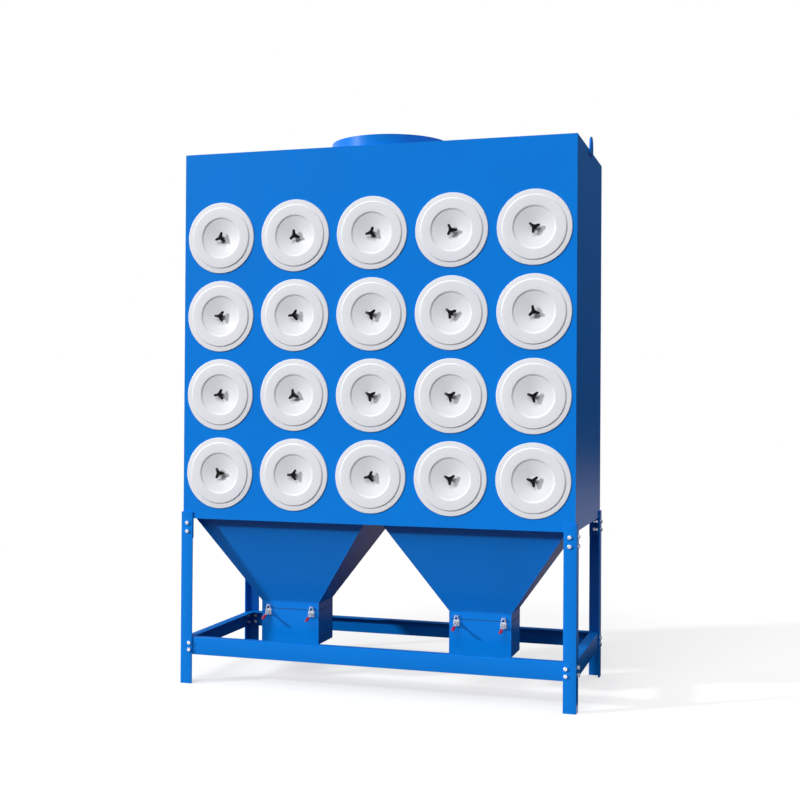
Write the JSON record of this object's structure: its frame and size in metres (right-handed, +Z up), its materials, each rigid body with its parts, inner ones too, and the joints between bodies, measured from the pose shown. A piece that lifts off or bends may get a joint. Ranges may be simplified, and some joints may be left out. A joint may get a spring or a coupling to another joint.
{
  "type": "cartridge dust collector",
  "caption": "Floor-standing cartridge dust collector: sheet-steel cabinet with rows of round dished access covers, pyramid hoppers with latched dust bins, angle-iron stand.",
  "frame": {"origin": "on the floor, in the middle of the overall width and depth", "axes": "+Z up, the access covers face -Y, +X to the right of someone facing them"},
  "size_m": [2.116, 0.9776, 2.8969],
  "materials": {
    "blue_paint": "glossy blue powder coat on sheet steel",
    "white_powder_coat": "satin white powder coat on pressed steel",
    "black_plastic": "moulded black plastic",
    "zinc_plate": "bright zinc plate",
    "red_vinyl": "dipped red vinyl",
    "filter_media": "pleated filter media with zinc end caps",
    "rubber_seal": "black sponge rubber"
  },
  "bodies": {
    "collector": {"front_panel": "blue_paint", "left_panel": "blue_paint", "right_panel": "blue_paint", "rear_panel": "blue_paint", "roof_panel": "blue_paint", "floor_plate": "blue_paint", "tube_sheet": "blue_paint", "inlet_collar": "blue_paint", "outlet_collar": "blue_paint", "lifting_lugs": "blue_paint", "access_covers_row_1": "white_powder_coat", "access_covers_row_2": "white_powder_coat", "access_covers_row_3": "white_powder_coat", "access_covers_row_4": "white_powder_coat", "star_knobs": "black_plastic", "tie_rods": "zinc_plate", "cartridges": "filter_media", "hopper_left": "blue_paint", "hopper_right": "blue_paint", "bin_gaskets": "rubber_seal", "dust_bin_left": "blue_paint", "dust_bin_right": "blue_paint", "latch_bases": "zinc_plate", "latch_keepers": "zinc_plate", "rear_latch_levers": "zinc_plate", "rear_latch_grips": "red_vinyl", "rear_latch_bails": "zinc_plate", "leg_front_left": "blue_paint", "leg_front_right": "blue_paint", "leg_rear_left": "blue_paint", "leg_rear_right": "blue_paint", "corner_brackets": "blue_paint", "front_rail": "blue_paint", "rear_rail": "blue_paint", "left_rail": "blue_paint", "right_rail": "blue_paint"},
    "lever_1": {"latch_lever_1": "zinc_plate", "latch_grip_1": "red_vinyl"},
    "bail_1": {"latch_bail_1": "zinc_plate"},
    "lever_2": {"latch_lever_2": "zinc_plate", "latch_grip_2": "red_vinyl"},
    "bail_2": {"latch_bail_2": "zinc_plate"},
    "lever_3": {"latch_lever_3": "zinc_plate", "latch_grip_3": "red_vinyl"},
    "bail_3": {"latch_bail_3": "zinc_plate"},
    "lever_4": {"latch_lever_4": "zinc_plate", "latch_grip_4": "red_vinyl"},
    "bail_4": {"latch_bail_4": "zinc_plate"}
  },
  "joints": [
    {"name": "latch_1_lever", "type": "hinge", "parent": "collector", "child": "lever_1", "pos_m": [-0.649, -0.24875, 0.366], "axis": [-1, 0, 0], "range_deg": [0, 90]},
    {"name": "latch_1_bail", "type": "hinge", "parent": "lever_1", "child": "bail_1", "pos_m": [-0.649, -0.24708, 0.35412], "axis": [-1, 0, 0], "range_deg": [-73.8, 0]},
    {"name": "latch_2_lever", "type": "hinge", "parent": "collector", "child": "lever_2", "pos_m": [-0.401, -0.24875, 0.366], "axis": [-1, 0, 0], "range_deg": [0, 90]},
    {"name": "latch_2_bail", "type": "hinge", "parent": "lever_2", "child": "bail_2", "pos_m": [-0.401, -0.24708, 0.35412], "axis": [-1, 0, 0], "range_deg": [-73.8, 0]},
    {"name": "latch_3_lever", "type": "hinge", "parent": "collector", "child": "lever_3", "pos_m": [0.401, -0.24875, 0.366], "axis": [-1, 0, 0], "range_deg": [0, 90]},
    {"name": "latch_3_bail", "type": "hinge", "parent": "lever_3", "child": "bail_3", "pos_m": [0.401, -0.24708, 0.35412], "axis": [-1, 0, 0], "range_deg": [-73.8, 0]},
    {"name": "latch_4_lever", "type": "hinge", "parent": "collector", "child": "lever_4", "pos_m": [0.649, -0.24875, 0.366], "axis": [-1, 0, 0], "range_deg": [0, 90]},
    {"name": "latch_4_bail", "type": "hinge", "parent": "lever_4", "child": "bail_4", "pos_m": [0.649, -0.24708, 0.35412], "axis": [-1, 0, 0], "range_deg": [-73.8, 0]}
  ],
  "couplings": [
    {"joint": "latch_1_bail", "follows": "latch_1_lever", "ratio": -0.82},
    {"joint": "latch_2_bail", "follows": "latch_2_lever", "ratio": -0.82},
    {"joint": "latch_3_bail", "follows": "latch_3_lever", "ratio": -0.82},
    {"joint": "latch_4_bail", "follows": "latch_4_lever", "ratio": -0.82}
  ]
}
